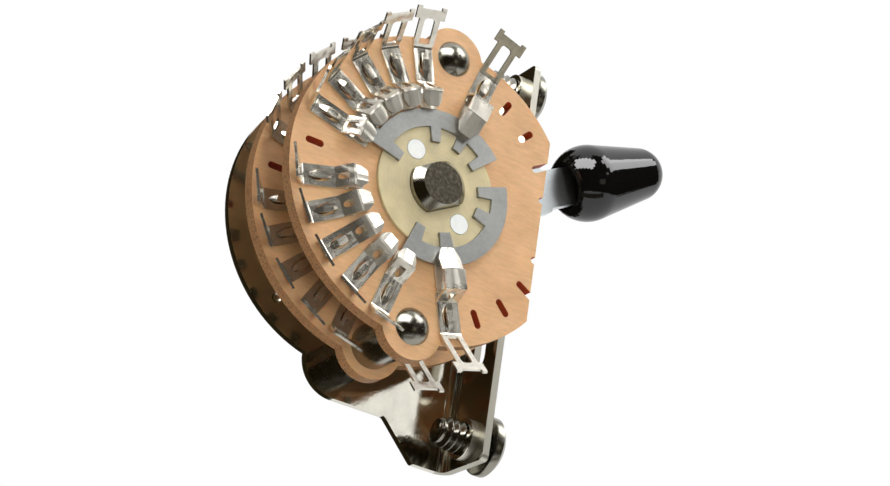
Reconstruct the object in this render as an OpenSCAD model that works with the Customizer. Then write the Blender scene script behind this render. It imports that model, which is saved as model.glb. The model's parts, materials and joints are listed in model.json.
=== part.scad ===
// Guitar pickup selector: a two-wafer rotary switch turned by a lever, on a bent steel frame.
// +Z leaves the mounting flange with the lever, +X runs along the lever slot, +Y runs along the
// shaft towards the frame plate. The origin is midway between the mounting screws, on the outer
// face of the flange. Angles about the shaft start at +Z and grow towards +X.

/* [Mounting flange] */
// Distance between the two mounting screws
screw_pitch = 41.3; // [40:0.1:43]
// From each screw's axis to the end of the flange
flange_end = 2.75; // [2.6:0.05:4]
// From the line of the screws to the free edge of the flange
flange_front = 3.4; // [3:0.1:4.5]
// From the line of the screws to the outer face of the frame plate
flange_back = 5.1; // [5:0.1:6]
// Thickness of the steel sheet
sheet_t = 0.8; // [0.7:0.05:1]
// Inside radius of the bend between flange and plate
bend_r = 0.9; // [0.6:0.1:1.2]
// Rounding of the sheet's corners
corner_r = 0.6; // [0.3:0.1:1]
// Play of the lever in its slot, on each side of its thickness
slot_side_gap = 0.5; // [0.3:0.1:0.8]
// Play of the lever at each end of its slot
slot_end_gap = 0.3; // [0.2:0.05:0.6]
// Outer diameter of the tapped collars under the flange
collar_d = 4.5; // [4.4:0.1:5.4]
// Height of the tapped collars
collar_h = 0.9; // [0.6:0.1:1.4]

/* [Frame plate] */
// Depth of the shaft's axis below the mounting face
shaft_drop = 14.9; // [14.5:0.1:16]
// Radius of the round end of the plate
plate_r = 15.9; // [15:0.1:16.5]
// Radius of the plate's ears round the tie rivets
plate_ear_r = 4.05; // [3.8:0.05:4.5]
// Depth of the full-width band below the mounting face
band_h = 4.6; // [4:0.1:6]
// Radius at which the two locating dimples are pressed
locator_ring_r = 13.6; // [13.2:0.1:14]
// Angle of the locating dimples from straight up
locator_angle = 128; // [124:1:134]
// Diameter of a locating dimple
locator_d = 1.3; // [0.8:0.1:1.6]

/* [Wafers] */
// Radius of a wafer
wafer_r = 16.6; // [16.2:0.1:17]
// Thickness of a wafer
wafer_t = 1.5; // [1.3:0.05:1.8]
// Distance of the flat edge from the shaft's axis
wafer_flat = 13; // [12.5:0.1:13.6]
// Radius of the wafer's ears round the tie rivets
wafer_ear_r = 3.45; // [3.2:0.05:3.8]
// Angle between two neighbouring contact places
pitch_angle = 15; // [14:0.5:15]
// Radius of the ring of slots
slot_ring_r = 14; // [13.9:0.1:14.3]
// Length of a slot, end to end
slot_l = 2.05; // [1.8:0.05:2.3]
// Width of a slot
slot_w = 0.75; // [0.7:0.05:0.9]

/* [Stack] */
// Distance from the shaft's axis to each tie rivet
rivet_x = 15.27; // [15:0.1:16]
// Diameter of the tie rivets
rivet_d = 3; // [2.6:0.1:3.4]
// Diameter of the rivets' domed heads
rivet_head_d = 3.9; // [3.8:0.1:4.8]
// Height of the domed heads
rivet_head_h = 1.1; // [0.9:0.05:1.4]
// Outer diameter of the spacer tubes
spacer_d = 4.8; // [4.4:0.1:5.2]
// Length of the spacers between the wafers
front_spacer_l = 6.6; // [6:0.1:8]
// Length of the spacers between the rear wafer and the frame plate
rear_spacer_l = 5.2; // [5.2:0.1:6]

/* [Rotors] */
// Radius of the rotor's front and back discs
rotor_r = 6.8; // [6.7:0.05:7]
// Radius of the hub that turns in the wafer
hub_r = 5.97; // [5.8:0.01:6.1]
// Thickness of the front disc
rotor_front_t = 0.44; // [0.4:0.02:0.5]
// Thickness of the back disc
rotor_back_t = 0.24; // [0.2:0.01:0.26]
// Running clearance of whatever turns
run_gap = 0.06; // [0.04:0.01:0.08]
// Radius of the circle of the two rotor pins
pin_ring_r = 4.4; // [4.3:0.05:4.5]
// Diameter of the rotor pins
pin_d = 2.1; // [1.8:0.1:2.2]
// Thickness of the rotor's contact plates
blade_t = 0.35; // [0.3:0.01:0.4]
// Inner radius of the contact plates
blade_in_r = 6.5; // [6.3:0.05:6.6]
// Outer radius of the contact plates
blade_out_r = 8.4; // [8.2:0.05:8.5]
// Radius that a plate's finger reaches
finger_r = 9.75; // [9.5:0.05:9.8]
// Angle that a finger spans
finger_span = 11; // [9:0.5:12]
// Radius of the inner ends of the fixing tabs
tab_in_r = 4.9; // [4.8:0.05:5.2]

/* [Terminals] */
// Thickness of the terminal strip
strip_t = 0.25; // [0.2:0.01:0.28]
// Width of a throw's and of a common's strip
terminal_w = [2.2, 2.5]; // [2:0.05:2.6]
// Angle of the commons from straight up
common_angle = 73.8; // [73:0.1:75]
// Radius where a throw's contact jaw begins
throw_in_r = 8.6; // [8.6:0.05:8.8]
// Radius where a common's contact jaw begins
common_in_r = 6.75; // [6.6:0.05:7]
// Gap between a jaw's leaf and the plate that it grips
leaf_gap = 0.1; // [0.08:0.01:0.12]
// Drop of a jaw's folded sides
jaw_fold = 0.25; // [0.2:0.05:0.4]
// From the ring of slots to the bend of the solder lugs
lug_reach = 1.2; // [1.2:0.05:1.4]
// Length of a throw's, the upper commons' and the lower commons' solder lug from its bend
lug_l = [4.3, 5.1, 5.5]; // [3.8:0.1:6]
// Width across the ears at a lug's end
lug_end_w = 3.5; // [3:0.1:3.6]
// Length of the bar at a lug's end
lug_bar_l = 1.35; // [1:0.05:1.6]
// Width of the wire window in a lug
window_w = 1.25; // [1:0.05:1.4]
// Bends of the upper throws' lugs on the front wafer, from the top on
front_lug_angles = [38, 58, 71, 76, 74]; // [20:1:80]
// Bends of the upper throws' lugs on the rear wafer, from the top on
rear_lug_angles = [44, 47, 50, 54, 57]; // [20:1:80]
// Bend of the lower throws' lugs
lower_lug_angle = 57; // [20:1:80]
// Bends of the upper and the lower commons' lugs
common_lug_angles = [21, 35]; // [15:1:60]

/* [Shaft] */
// Diameter of the shaft
shaft_d = 6.2; // [6:0.1:6.3]
// Distance across the shaft's two flats
shaft_flats = 4.6; // [4.4:0.1:5]
// Length of the shaft in front of the front wafer
shaft_nose = 1.9; // [1.6:0.1:2.6]
// Chamfer of the shaft's sheared end
shaft_chamfer = 0.85; // [0.5:0.05:1]
// Diameter of the journal in the frame plate
journal_d = 5; // [4.6:0.1:5.4]
// Diameter of the shoulder that bears on the frame plate
shoulder_d = 8.4; // [7.8:0.1:9]
// Length of that shoulder
shoulder_l = 1.05; // [0.9:0.05:1.2]
// Length of the shaft behind the frame plate
shaft_tail = 1.8; // [1.7:0.1:2.4]
// Depth of the retaining ring's groove in the journal
groove_depth = 0.6; // [0.5:0.05:0.8]

/* [Lever] */
// Angle of the switch's first position
first_angle = -30; // [-30:1:-28]
// Angle by which the lever trails the shaft's flats
lever_trail = 1.1; // [0:0.1:1.1]
// Thickness of the lever
lever_t = 1.2; // [1:0.05:1.3]
// Width of the lever's arm where it passes the flange
arm_w = 5.3; // [5:0.1:5.6]
// Width of the tang that takes the tip
tang_w = 4.4; // [4:0.1:4.5]
// Radius where the arm steps down to the tang
arm_l = 22; // [21:0.1:22.5]
// Radius of the tang's end
tang_l = 33; // [32:0.1:33.5]
// Diameter of the lever's hub
lever_hub_d = 11; // [10:0.1:12]

/* [Tip] */
// Distance of the tip's mouth from the shaft's axis
tip_start = 25.1; // [24.5:0.1:25.5]
// Length of the tip
tip_l = 13.8; // [13.6:0.1:15]
// Largest diameter of the tip
tip_d = 8.8; // [8.4:0.1:9.2]
// Diameter of the tip's round end
tip_end_d = 6.2; // [5.8:0.1:6.6]
// Diameter of the tip's mouth
tip_mouth_d = 4.9; // [4.8:0.1:5.2]
// Depth of the open mouth
tip_mouth_l = 3; // [2:0.1:4]
// Clearance of the tang in the tip
tip_gap = 0.05; // [0.03:0.01:0.1]

/* [Detent] */
// Diameter of the detent balls
ball_d = 2.6; // [2.5:0.1:2.7]
// Radius of the circle that the balls run on
ball_ring_r = 10.2; // [10:0.1:10.3]
// Depth of the detent dimples in the frame plate
dimple_depth = 0.35; // [0.25:0.05:0.4]
// Thickness of the ball carrier
carrier_t = 0.9; // [0.8:0.05:1]
// Thickness of the leaf spring
leaf_t = 0.3; // [0.25:0.05:0.35]
// Width of the leaf spring
leaf_w = 3.4; // [3:0.1:4]

/* [Fasteners] */
// Outer diameter of the mounting screws' thread
screw_d = 3.5; // [3.4:0.1:3.6]
// Length of a mounting screw under its head
screw_l = 5.6; // [5:0.05:9.5]
// Diameter of a mounting screw's head
screw_head_d = 6.5; // [6.4:0.1:7.2]
// Height of a mounting screw's head
screw_head_h = 2.3; // [2:0.1:2.6]
// How far the upper and the lower mounting screw stand backed out
screws_out = [0.2, 0.9];
// Thickness of the washer and of the retaining ring behind the plate
ring_t = [0.4, 0.5];
// Outer diameter of the washer and of the retaining ring
ring_d = [9, 8.4];

/* [Hidden] */
$fn = 48;

SIDES = ["front", "rear"];
// Terminals: name, wafer, angle, lug bend, lug length, common or not
throw_first = 105;
TERMINALS = [for (wafer = [0, 1]) each concat(
    [[str(SIDES[wafer], "_common_upper"), wafer, -common_angle, common_lug_angles[0], lug_l[1], true],
     [str(SIDES[wafer], "_common_lower"), wafer, common_angle, common_lug_angles[1], lug_l[2], true]],
    [for (i = [0:4]) [str(SIDES[wafer], "_throw_upper_", i + 1), wafer, -throw_first - i * pitch_angle,
        (wafer == 0 ? front_lug_angles : rear_lug_angles)[i], lug_l[0], false]],
    [for (i = [0:4]) [str(SIDES[wafer], "_throw_lower_", i + 1), wafer, throw_first + i * pitch_angle,
        lower_lug_angle, lug_l[0], false]])];

// Places along the shaft
plate_front = flange_back - sheet_t;
rear_face = plate_front - rear_spacer_l - wafer_t;
front_face = rear_face - front_spacer_l - wafer_t;
FACES = [front_face, rear_face];
hub_gap = 0.04;
lever_front = rear_face + wafer_t + run_gap + rotor_back_t + hub_gap;
leaf_front = lever_front + lever_t;
shoulder_front = plate_front - run_gap - shoulder_l;
carrier_front = shoulder_front - carrier_t;
ball_y = plate_front - run_gap - ball_d / 2;

// Heights above a wafer's front face
blade_z = run_gap + rotor_front_t;
blade_top = blade_z + blade_t;
lower_leaf_z = blade_z - leaf_gap - strip_t;
upper_leaf_z = blade_top + leaf_gap;

// Rotor details: angles of the plates' fixing tabs and of the pins
UPPER_TABS = [[-166, -154], [-107, -96], [-77.5, -67], [-50.5, -41]];
LOWER_TABS = [[-20, -8], [6.5, 20], [64, 78], [98, 110]];
PIN_ANGLES = [-132, 43];
tab_tip_l = 0.35;
tab_tip_depth = 0.25;
key_gap = 0.04;

hole_gap = 0.05;
positions = 5;
plate_neck_w = 2 * (rivet_x + plate_ear_r);
flange_l = screw_pitch + 2 * flange_end;
lug_bend_r = slot_ring_r + lug_reach;
common_slot = 5;
last_angle = first_angle + lever_trail + (positions - 1) * pitch_angle;
slot_half = shaft_drop * tan(max(-first_angle - lever_trail, last_angle))
    + arm_w / 2 / cos(last_angle) + slot_end_gap;
lever_y = lever_front + lever_t / 2;
big = 100;
eps = 0.01;

// Corner arcs of an outline, each corner with its own radius
function unit(v) = v / norm(v);
function corner(a, b, c, r, steps = 5) =
    let (u = unit(a - b), v = unit(c - b), half = acos(u * v) / 2,
         centre = b + unit(u + v) * r / sin(half),
         from = b + u * r / tan(half) - centre, to = b + v * r / tan(half) - centre,
         start = atan2(from.y, from.x), turn = (atan2(to.y, to.x) - start + 540) % 360 - 180)
    [for (i = [0:steps]) centre + r * [cos(start + turn * i / steps), sin(start + turn * i / steps)]];
function rounded(points, radii) = let (n = len(points)) [for (i = [0:n - 1]) each
    (radii[i] == 0 ? [points[i]] : corner(points[(i + n - 1) % n], points[i], points[(i + 1) % n], radii[i]))];

// Outline of a strip of sheet, from the path of the side on its left
function side_normal(a, b) = let (d = unit(b - a)) [d.y, -d.x];
function mitre(a, b, c, t) = let (m = side_normal(a, b), n = side_normal(b, c)) b + (m + n) * t / (1 + m * n);
function strip_outline(path, t) = let (last = len(path) - 1) concat(path,
    [path[last] + t * side_normal(path[last - 1], path[last])],
    [for (i = [last - 1:-1:1]) mitre(path[i - 1], path[i], path[i + 1], t)],
    [path[0] + t * side_normal(path[0], path[1])]);

// Drawing plane across the shaft at a given place: x is up, z points to the front
module across_shaft(y) {
    translate([0, y, -shaft_drop]) rotate([90, -90, 0]) children();
}

module at_angle(a, r = 0) {
    rotate([0, 0, -a]) translate([r, 0, 0]) children();
}

module sector(r_in, r_out, span) {
    steps = ceil((span[1] - span[0]) / 40);
    far = 1.3 * r_out;
    difference() {
        intersection() {
            circle(r = r_out);
            polygon(concat([[0, 0]], [for (i = [0:steps]) let (a = span[0] + (span[1] - span[0]) * i / steps)
                far * [cos(a), -sin(a)]]));
        }
        circle(r = r_in);
    }
}

module double_d(gap = 0) {
    rotate(-first_angle) intersection() {
        circle(d = shaft_d + 2 * gap);
        square([shaft_d + 1, shaft_flats + 2 * gap], center = true);
    }
}

module dome(d, h) {
    sphere_r = (d * d / 4 + h * h) / (2 * h);
    intersection() {
        translate([0, 0, h - sphere_r]) sphere(r = sphere_r, $fn = 96);
        cylinder(d = d, h = h);
    }
}

// The frame: a flange and a plate, bent from one sheet
module plate_outline() {
    half = flange_l / 2;
    neck = plate_neck_w / 2;
    top = shaft_drop - sheet_t - bend_r;
    shoulder = shaft_drop - band_h;
    foot = shoulder - (half - neck);
    circle(r = plate_r, $fn = 96);
    for (side = [-1, 1]) translate([0, side * rivet_x]) circle(r = plate_ear_r);
    polygon(rounded(
        [[0, -neck], [foot, -neck], [shoulder, -half], [top, -half],
         [top, half], [shoulder, half], [foot, neck], [0, neck]],
        [0, corner_r, corner_r, 0, 0, corner_r, corner_r, 0]));
}

module flange_outline() {
    half = flange_l / 2;
    fold = flange_back - sheet_t - bend_r;
    polygon(rounded([[-half, fold], [-half, -flange_front], [half, -flange_front], [half, fold]],
        [0, corner_r, corner_r, 0]));
}

module slot_outline(l, w) {
    d = min(l, w);
    square([l > w ? l - w : l, l > w ? w : w - l], center = true);
    for (side = [-1, 1]) translate(side / 2 * [max(l - w, 0), max(w - l, 0)]) circle(d = d, $fn = 24);
}

module detent_dimples() {
    for (side = [0, 180]) for (i = [0:positions - 1])
        at_angle(first_angle + 90 + side + i * pitch_angle, ball_ring_r)
            translate([0, 0, ball_d / 2 - dimple_depth]) sphere(d = ball_d);
}

module frame() color("#8f8c7c") difference() {
    union() {
        translate([0, 0, -sheet_t]) linear_extrude(sheet_t) flange_outline();
        translate([-flange_l / 2, flange_back - sheet_t - bend_r, -sheet_t - bend_r])
            rotate([90, 0, 90]) rotate_extrude(angle = 90)
                translate([bend_r, 0]) square([sheet_t, flange_l]);
        across_shaft(flange_back) linear_extrude(sheet_t) plate_outline();
        for (side = [-1, 1]) translate([side * screw_pitch / 2, 0, -sheet_t - collar_h])
            cylinder(d = collar_d, h = collar_h + sheet_t / 2);
    }
    translate([0, lever_y, -sheet_t - 1]) linear_extrude(sheet_t + 2)
        slot_outline(2 * slot_half, lever_t + 2 * slot_side_gap);
    for (side = [-1, 1]) translate([side * screw_pitch / 2, 0, -sheet_t - collar_h - 1])
        cylinder(d = screw_d + 2 * hole_gap, h = sheet_t + collar_h + 2);
    across_shaft(flange_back + 1) {
        cylinder(d = journal_d + 2 * run_gap, h = sheet_t + 2);
        for (side = [-1, 1]) translate([0, side * rivet_x, 0]) cylinder(d = rivet_d + 2 * hole_gap, h = sheet_t + 2);
    }
    across_shaft(plate_front) detent_dimples();
    across_shaft(plate_front) for (side = [-1, 1]) at_angle(side * locator_angle, locator_ring_r)
        translate([0, 0, locator_d / 4]) sphere(d = locator_d);
}

// A wafer of laminate, with its ears, its flat edge and its ring of slots
module wafer(face) {
    across_shaft(face + wafer_t) difference() {
        linear_extrude(wafer_t) union() {
            intersection() {
                circle(r = wafer_r, $fn = 96);
                translate([wafer_flat - big, -big / 2]) square([big, big]);
            }
            for (side = [-1, 1]) translate([0, side * rivet_x]) circle(r = wafer_ear_r);
        }
        translate([0, 0, -1]) cylinder(r = hub_r + run_gap, h = wafer_t + 2);
        for (side = [-1, 1]) translate([0, side * rivet_x, -1])
            cylinder(d = rivet_d + 2 * hole_gap, h = wafer_t + 2);
        for (a = [-11 * pitch_angle:pitch_angle:12 * pitch_angle])
            if (a != 0 && abs(abs(a) - 90) > pitch_angle / 2)
                at_angle(abs(a) == common_slot * pitch_angle ? sign(a) * common_angle : a, slot_ring_r)
                translate([0, 0, -1]) linear_extrude(wafer_t + 2) {
                    slot_outline(slot_l, slot_w);
                    if (abs(a) < 2.5 * pitch_angle) translate([0, -slot_w / 2]) square([slot_l, slot_w]);
                }
    }
}
module front_wafer() color("#d8ab80") wafer(front_face);
module rear_wafer() color("#cf9a70") wafer(rear_face);

// A tie rivet: domed head in front, shank through the stack, upset tail behind the plate
module tie_rivet(side) color("#b5b3a8") translate([side * rivet_x, 0, 0]) {
    across_shaft(front_face) dome(rivet_head_d, rivet_head_h);
    across_shaft(flange_back) {
        cylinder(d = rivet_d, h = flange_back - front_face);
        mirror([0, 0, 1]) dome(rivet_head_d, rivet_head_h / 2);
    }
}

module spacer(side, y, l) color("#9c9a92") translate([side * rivet_x, 0, 0]) across_shaft(y + l) difference() {
    cylinder(d = spacer_d, h = l);
    translate([0, 0, -1]) cylinder(d = rivet_d + 2 * hole_gap, h = l + 2);
}

// A mounting screw: pan head with a cross recess, plain shank at the thread's outer diameter
module mounting_screw(side, out) color("#a5a294") translate([side * screw_pitch / 2, 0, out]) {
    rim_h = screw_head_h * 0.4;
    cross = [screw_head_d * 0.55, 0.95, screw_head_h * 0.6];
    difference() {
        union() {
            cylinder(d = screw_head_d, h = rim_h);
            translate([0, 0, rim_h]) dome(screw_head_d, screw_head_h - rim_h);
        }
        for (a = [45, 135]) rotate(a) translate([-cross.x / 2, -cross.y / 2, screw_head_h - cross.z])
            cube([cross.x, cross.y, cross.z + 1]);
    }
    rotate_extrude() polygon([[0, 0], [screw_d / 2, 0], [screw_d / 2, 0.5 - screw_l],
        [screw_d / 2 - 0.5, -screw_l], [0, -screw_l]]);
}

// The shaft: two flats, a sheared and chamfered nose, a shoulder and a grooved journal
module shaft() color("#77756c") across_shaft(0) {
    nose = -front_face + shaft_nose;
    groove_z = -flange_back - run_gap - ring_t[0];
    groove_l = ring_t[1] + run_gap;
    tail = -flange_back - shaft_tail;
    intersection() {
        translate([0, 0, -shoulder_front]) linear_extrude(nose + shoulder_front) double_d();
        translate([0, 0, nose - shaft_chamfer]) union() {
            cylinder(d1 = shaft_d, d2 = shaft_d - 2 * shaft_chamfer, h = shaft_chamfer);
            translate([0, 0, -big]) cylinder(d = shaft_d + 1, h = big);
        }
    }
    rotate_extrude() polygon([[0, -shoulder_front], [shoulder_d / 2, -shoulder_front],
        [shoulder_d / 2, -plate_front + run_gap], [journal_d / 2, -plate_front + run_gap],
        [journal_d / 2, groove_z], [journal_d / 2 - groove_depth, groove_z],
        [journal_d / 2 - groove_depth, groove_z - groove_l], [journal_d / 2, groove_z - groove_l],
        [journal_d / 2, tail + 0.3], [journal_d / 2 - 0.3, tail], [0, tail]]);
}

// The lever: hub, arm and tang, blanked from one sheet
module lever_blade() color("#b9bdbd") across_shaft(leaf_front) linear_extrude(lever_t) difference() {
    rotate(-first_angle - lever_trail) union() {
        circle(d = lever_hub_d);
        polygon(rounded([[0, -lever_hub_d * 0.45], [lever_hub_d, -arm_w / 2], [arm_l, -arm_w / 2],
            [arm_l, -tang_w / 2], [tang_l, -tang_w / 2], [tang_l, tang_w / 2],
            [arm_l, tang_w / 2], [arm_l, arm_w / 2], [lever_hub_d, arm_w / 2], [0, lever_hub_d * 0.45]],
            [0, 4, 0.3, 0.3, 0.8, 0.8, 0.3, 0.3, 4, 0]));
    }
    double_d(hole_gap);
}

// The tip: a rounded moulding with an open mouth, ribs and a socket for the tang
module tip_outline() {
    base_r = tip_d / 2;
    end_r = tip_end_d / 2;
    mouth_r = tip_mouth_d / 2 + 0.45;
    base_x = sqrt(base_r * base_r - mouth_r * mouth_r);
    end_x = tip_l - end_r;
    lean = asin((base_r - end_r) / (end_x - base_x));
    steps = 14;
    open_angle = acos(-base_x / base_r);
    polygon(concat([[0, 0]],
        [for (i = [0:steps]) let (a = open_angle + (90 - lean - open_angle) * i / steps)
            [base_r * sin(a), base_x + base_r * cos(a)]],
        [for (i = [0:steps]) let (a = (90 - lean) * (1 - i / steps)) [end_r * sin(a), end_x + end_r * cos(a)]]));
}

module lever_tip() color("#151515") across_shaft(lever_y) rotate(-first_angle - lever_trail)
    translate([tip_start, 0, 0]) difference() {
        rotate([0, 90, 0]) rotate_extrude($fn = 72) tip_outline();
        difference() {
            translate([-1, 0, 0]) rotate([0, 90, 0]) cylinder(d = tip_mouth_d, h = tip_mouth_l + 1);
            for (side = [-1, 1]) translate([0.8, side * 1.1 - 0.2, lever_t / 2 + 0.25])
                cube([tip_mouth_l, 0.4, tip_mouth_d]);
            for (side = [-1, 1]) translate([0.8, side * 1.1 - 0.2, -tip_mouth_d - lever_t / 2 - 0.25])
                cube([tip_mouth_l, 0.4, tip_mouth_d]);
        }
        translate([-1, -tang_w / 2 - tip_gap, -lever_t / 2 - tip_gap])
            cube([tang_l - tip_start + 1.3, tang_w + 2 * tip_gap, lever_t + 2 * tip_gap]);
    }

// A rotor's front half, with the hub that turns in the wafer and the pockets of the plates' tabs
module rotor(face) color("#cbbf97") across_shaft(face) difference() {
    union() {
        translate([0, 0, run_gap]) cylinder(r = rotor_r, h = rotor_front_t);
        translate([0, 0, -wafer_t - run_gap]) cylinder(r = hub_r, h = wafer_t + 2 * run_gap + eps);
    }
    translate([0, 0, -wafer_t - 1]) linear_extrude(wafer_t + 2) double_d(hole_gap);
    for (a = PIN_ANGLES) at_angle(a, pin_ring_r) translate([0, 0, -wafer_t - 1])
        cylinder(d = pin_d + 2 * hole_gap, h = wafer_t + 2, $fn = 32);
    for (tab = concat(UPPER_TABS, LOWER_TABS)) translate([0, 0, blade_z - tab_tip_depth - key_gap])
        linear_extrude(1) sector(tab_in_r - key_gap, tab_in_r + tab_tip_l + key_gap, tab + [-0.6, 0.6]);
}

module rotor_back(face) color("#c4b88e") across_shaft(face) difference() {
    translate([0, 0, -wafer_t - run_gap - rotor_back_t]) cylinder(r = rotor_r, h = rotor_back_t);
    translate([0, 0, -wafer_t - 2]) linear_extrude(3) double_d(hole_gap);
    for (a = PIN_ANGLES) at_angle(a, pin_ring_r) translate([0, 0, -wafer_t - 2])
        cylinder(d = pin_d + 2 * hole_gap, h = 3, $fn = 32);
}

module rotor_pins(face) color("#ecebe6") across_shaft(face) for (a = PIN_ANGLES) at_angle(a, pin_ring_r)
    translate([0, 0, -wafer_t - run_gap - rotor_back_t])
        cylinder(d = pin_d, h = wafer_t + 2 * run_gap + rotor_back_t + rotor_front_t + 0.04, $fn = 32);

// A rotor's contact plate: ring, fixing tabs with folded tips, and the finger that meets the throws
module contact_plate(face, tabs, finger_first) color("#a9aaa6") across_shaft(face) {
    last = len(tabs) - 1;
    start = tabs[0][0];
    end = tabs[last][1];
    bare = finger_first ? [start + finger_span, end + finger_span] : [start - finger_span, end - finger_span];
    translate([0, 0, blade_z]) linear_extrude(blade_t) difference() {
        sector(tab_in_r, finger_r, [start, end]);
        sector(blade_out_r, finger_r + 1, bare);
        for (i = [1:last]) sector(tab_in_r - 1, blade_in_r, [tabs[i - 1][1], tabs[i][0]]);
    }
    for (tab = tabs) translate([0, 0, blade_z - tab_tip_depth]) linear_extrude(tab_tip_depth + blade_t / 2)
        sector(tab_in_r + key_gap, tab_in_r + tab_tip_l, [tab[0] + 0.4, tab[1] - 0.4]);
}
module upper_plate(face) contact_plate(face, UPPER_TABS, true);
module lower_plate(face) contact_plate(face, LOWER_TABS, false);

// A terminal: two leaves that grip the rotor's plate, a lanced body staked through the wafer,
// and a bent solder lug. It is drawn flat, with x outwards from the shaft and z off the wafer.
module leaf(path, w) {
    translate([0, w / 2, 0]) rotate([90, 0, 0]) linear_extrude(w) polygon(strip_outline(path, strip_t));
}

// The nose of a jaw's upper leaf: its sides fold down from the flat middle, and its end is narrow
module nose(crest, end, w) {
    l = norm(crest - end);
    flat_w = 0.48 * w;
    translate([end.x, 0, end.y]) rotate([0, -atan2(crest.y - end.y, crest.x - end.x), 0]) intersection() {
        rotate([90, 0, 90]) linear_extrude(l) polygon([[-w / 2, -jaw_fold], [-flat_w / 2, 0], [flat_w / 2, 0],
            [w / 2, -jaw_fold], [w / 2, strip_t - jaw_fold], [flat_w / 2, strip_t], [-flat_w / 2, strip_t],
            [-w / 2, strip_t - jaw_fold]]);
        translate([0, 0, -1]) linear_extrude(2) polygon(rounded([[0, -0.3 * w], [0.45 * l, -w / 2],
            [l, -w / 2], [l, w / 2], [0.45 * l, w / 2], [0, 0.3 * w]], [0.3, 0.4, 0, 0, 0.4, 0.3]));
    }
}

module almond(l, w) {
    r = (l * l + w * w) / (4 * w);
    intersection_for (side = [-1, 1]) translate([0, side * (r - w / 2)]) circle(r = r);
}

module solder_lug(angle, w, l) {
    inner_r = 0.4;
    rail_l = l - lug_bar_l;
    lug_w = window_w + 1.2;
    ear = 0.55;
    notch = 0.3;
    translate([lug_bend_r, w / 2, strip_t + inner_r]) rotate([90, 0, 0]) rotate([0, 0, -90])
        rotate_extrude(angle = angle) translate([inner_r, 0]) square([strip_t, w]);
    translate([lug_bend_r, 0, strip_t + inner_r]) rotate([0, -angle, 0])
        translate([-eps, 0, -inner_r - strip_t]) linear_extrude(strip_t) difference() {
            polygon([[0, -w / 2], [0.5, -lug_w / 2], [rail_l, -lug_w / 2], [rail_l, -lug_end_w / 2],
                [l, -lug_end_w / 2], [l, ear - lug_end_w / 2], [l - notch, ear - lug_end_w / 2],
                [l - notch, lug_end_w / 2 - ear], [l, lug_end_w / 2 - ear], [l, lug_end_w / 2],
                [rail_l, lug_end_w / 2], [rail_l, lug_w / 2], [0.5, lug_w / 2], [0, w / 2]]);
            polygon(rounded([[0.3, -window_w / 2], [rail_l + 0.1, -window_w / 2],
                [rail_l + 0.1, window_w / 2], [0.3, window_w / 2]], [0.2, 0.4, 0.4, 0.2]));
        }
}

module terminal_body(neck_r, body_r, w) {
    bow_l = 0.94 * (lug_bend_r - body_r);
    bow_w = 0.36 * w;
    bow_h = 0.4;
    mid = (lug_bend_r + body_r) / 2;
    difference() {
        translate([neck_r, -w / 2, 0]) cube([lug_bend_r - neck_r, w, strip_t]);
        translate([mid, 0, -1]) linear_extrude(3) almond(0.88 * bow_l, bow_w * 1.55);
    }
    // The lanced bow in the middle of the body
    intersection() {
        translate([mid, 0, -1]) linear_extrude(3) almond(bow_l, bow_w);
        translate([mid, w / 2, 0]) rotate([90, 0, 0]) linear_extrude(w) polygon(strip_outline(
            [[bow_l / 2, 0], [bow_l * 0.4, 0], [bow_l * 0.16, bow_h], [-bow_l * 0.16, bow_h], [-bow_l * 0.4, 0],
             [-bow_l / 2, 0]], strip_t));
    }
    // Leg through the slot, clinched behind the wafer
    leg_l = slot_l - 0.3;
    leg_w = slot_w - 0.3;
    translate([slot_ring_r - leg_l / 2, -leg_w / 2, -wafer_t - strip_t]) cube([leg_l, leg_w, wafer_t + strip_t + eps]);
    translate([slot_ring_r - 1.9, -w / 4, -wafer_t - strip_t]) cube([2.6, w / 2, strip_t]);
}

module jaw(tip_r, crest_r, flat_l, rise, neck_r, body_r, foot_r, w) {
    window_l = 0.9 * (body_r - crest_r);
    crest = [crest_r - flat_l, rise];
    difference() {
        union() {
            leaf([[body_r + 0.3, 0], [body_r, 0], [crest_r, rise], crest - [eps, 0]], w);
            terminal_body(neck_r, body_r, w);
            leaf([[neck_r + 0.4, 0], [neck_r, lower_leaf_z], [foot_r, lower_leaf_z]], w - 0.3);
        }
        translate([(body_r + crest_r) / 2, 0, -0.1]) linear_extrude(rise) slot_outline(window_l, 0.34 * w);
    }
    nose(crest, [tip_r, upper_leaf_z + jaw_fold], w);
}

module throw_terminal(angle, l) {
    w = terminal_w[0];
    neck_r = finger_r + 0.45;
    jaw(throw_in_r, neck_r, 0.1, upper_leaf_z + 0.6, neck_r, neck_r + 0.26 * (lug_bend_r - neck_r), throw_in_r, w);
    solder_lug(angle, w, l);
}

module common_terminal(angle, l) {
    w = terminal_w[1];
    neck_r = common_in_r + 0.52 * (lug_bend_r - common_in_r);
    jaw(common_in_r, neck_r - 0.1, 0.44 * (neck_r - common_in_r), upper_leaf_z + 1.05, neck_r, neck_r + 0.75,
        rotor_r + 0.25, w);
    solder_lug(angle, w, l);
}

module terminal(t) color("#d5d4ce") across_shaft(FACES[t[1]]) at_angle(t[2])
    if (t[5]) common_terminal(t[3], t[4]);
    else throw_terminal(t[3], t[4]);

// The detent: a carrier with two balls that a leaf spring presses against the dimpled plate
module ball_carrier() color("#a3a29c") across_shaft(carrier_front + carrier_t) linear_extrude(carrier_t) difference() {
    rotate(-first_angle) union() {
        circle(d = lever_hub_d);
        slot_outline(ball_d + 1.6, 2 * ball_ring_r + ball_d + 1.6);
    }
    double_d(hole_gap);
    for (side = [90, 270]) at_angle(first_angle + side, ball_ring_r) circle(d = ball_d + 2 * hole_gap);
}

module detent_balls() color("#c8c8c4") across_shaft(ball_y) for (side = [90, 270])
    at_angle(first_angle + side, ball_ring_r) sphere(d = ball_d);

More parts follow.
